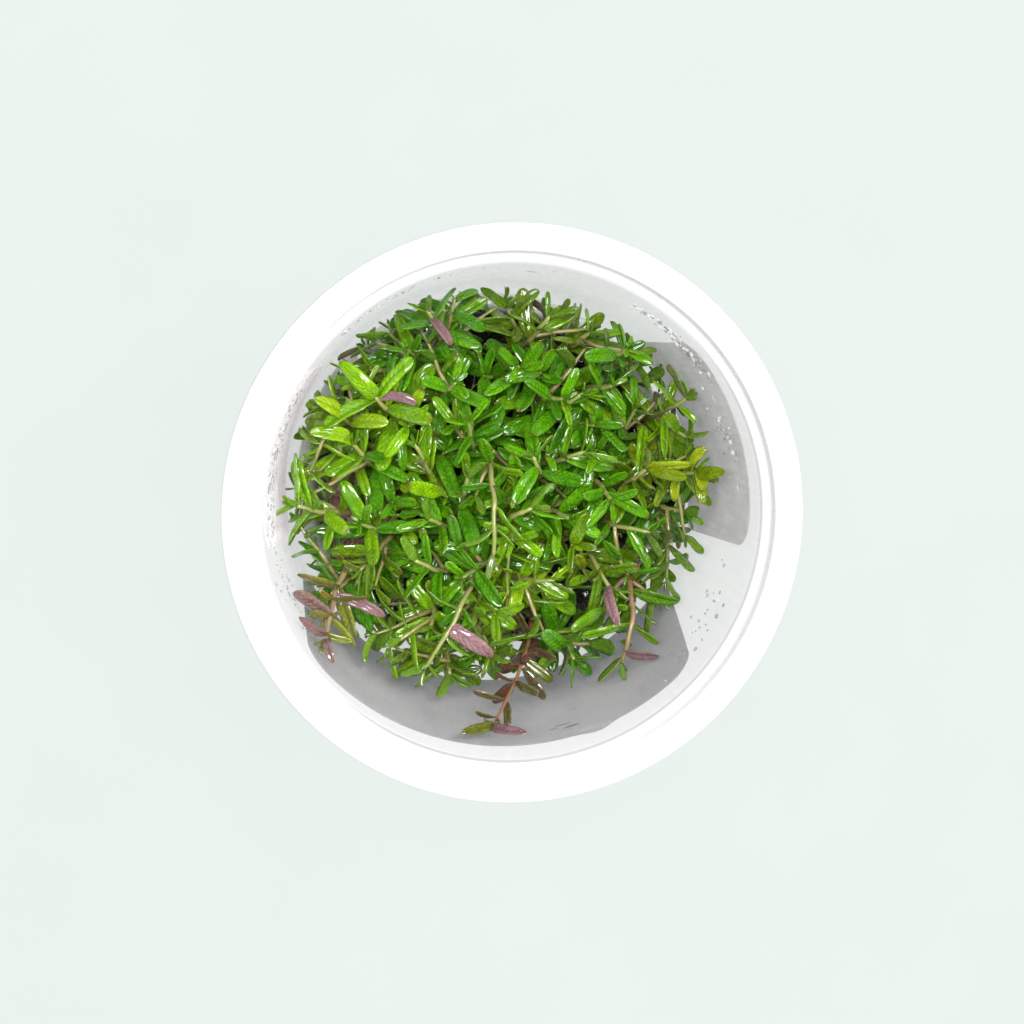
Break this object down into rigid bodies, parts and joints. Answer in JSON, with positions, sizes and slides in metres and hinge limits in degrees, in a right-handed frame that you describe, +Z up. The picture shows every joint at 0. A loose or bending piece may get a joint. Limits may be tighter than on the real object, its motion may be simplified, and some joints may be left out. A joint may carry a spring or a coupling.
{
  "type": "rotala hra tissue-culture cup",
  "caption": "Round translucent culture cup, lid off, with a flanged rim, outside labels, dark gel and a dense tuft of leafy aquarium stem plants inside.",
  "frame": {"origin": "under the middle of the cup's foot, on the surface that it stands on", "axes": "+Z up through the mouth; the wide label faces -Y and the narrower dark one +X"},
  "size_m": [0.1, 0.1, 0.06],
  "materials": {
    "cup_plastic": "milky translucent moulding",
    "label_film": "satin film, bare",
    "nutrient_gel": "wet gloss",
    "old_roots": "damp, fibrous",
    "shoots_green": "wet leaf gloss",
    "shoots_lime": "wet leaf gloss",
    "shoots_olive": "wet leaf gloss",
    "shoots_red": "wet leaf gloss"
  },
  "bodies": {
    "root": {"cup": "cup_plastic", "label_front": "label_film", "label_side": "label_film", "label_back": "label_film", "gel": "nutrient_gel", "root_mat": "old_roots", "shoot_01": "shoots_red", "shoot_02": "shoots_red", "shoot_03": "shoots_green", "shoot_04": "shoots_olive", "shoot_05": "shoots_lime", "shoot_06": "shoots_lime", "shoot_07": "shoots_green", "shoot_08": "shoots_green", "shoot_09": "shoots_green", "shoot_10": "shoots_lime", "shoot_11": "shoots_olive", "shoot_12": "shoots_green", "shoot_13": "shoots_green", "shoot_14": "shoots_green", "shoot_15": "shoots_lime", "shoot_16": "shoots_green", "shoot_17": "shoots_green", "shoot_18": "shoots_green", "shoot_19": "shoots_green", "shoot_20": "shoots_green", "shoot_21": "shoots_green", "shoot_22": "shoots_lime", "shoot_23": "shoots_lime", "shoot_24": "shoots_green", "shoot_25": "shoots_green", "shoot_26": "shoots_green", "shoot_27": "shoots_green", "shoot_28": "shoots_lime", "shoot_29": "shoots_green", "shoot_30": "shoots_green", "shoot_31": "shoots_olive", "shoot_32": "shoots_green", "shoot_33": "shoots_lime", "shoot_34": "shoots_olive", "shoot_35": "shoots_green", "shoot_36": "shoots_olive", "shoot_37": "shoots_green", "shoot_38": "shoots_olive", "shoot_39": "shoots_green", "shoot_40": "shoots_green", "shoot_41": "shoots_green", "shoot_42": "shoots_green", "shoot_43": "shoots_lime", "shoot_44": "shoots_green", "shoot_45": "shoots_olive", "shoot_46": "shoots_green", "shoot_47": "shoots_green", "shoot_48": "shoots_olive", "shoot_49": "shoots_olive", "shoot_50": "shoots_olive"}
  },
  "joints": []
}
